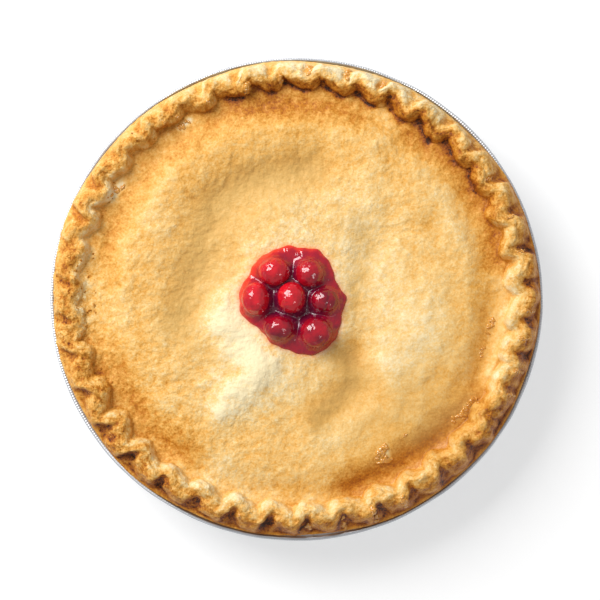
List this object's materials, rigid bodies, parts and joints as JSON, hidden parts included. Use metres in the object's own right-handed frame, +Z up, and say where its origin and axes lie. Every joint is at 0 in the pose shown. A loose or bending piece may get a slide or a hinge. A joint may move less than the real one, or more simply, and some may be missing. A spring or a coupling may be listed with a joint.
{
  "type": "cherry pie",
  "caption": "Whole round covered fruit pie in a foil pan, with a fluted golden rim, a domed lid and cherries in glossy sauce on top.",
  "frame": {"origin": "centre of the pan's flat underside, on the surface that the pie stands on", "axes": "+Z up through the lid, +Y towards the back of the pie as seen in its usual top view, +X to the right"},
  "size_m": [0.244, 0.2438, 0.0538],
  "materials": {
    "foil": "bright thin foil, pressed, with fine knurling on the rolled bead",
    "crust": "baked shortcrust, pale gold on the lid and browner along the rim, with a patchy egg and sugar sheen",
    "sauce": "clear red fruit glaze, wet and glossy, dark where it lies deep",
    "cherry": "cooked sour cherry skin under a wet glaze"
  },
  "bodies": {
    "root": {"foil_pan": "foil", "pie_crust": "crust", "cherry_sauce": "sauce", "cherry_centre": "cherry", "cherry_upper_left": "cherry", "cherry_upper_right": "cherry", "cherry_left": "cherry", "cherry_right": "cherry", "cherry_lower_left": "cherry", "cherry_lower_right": "cherry"}
  },
  "joints": []
}
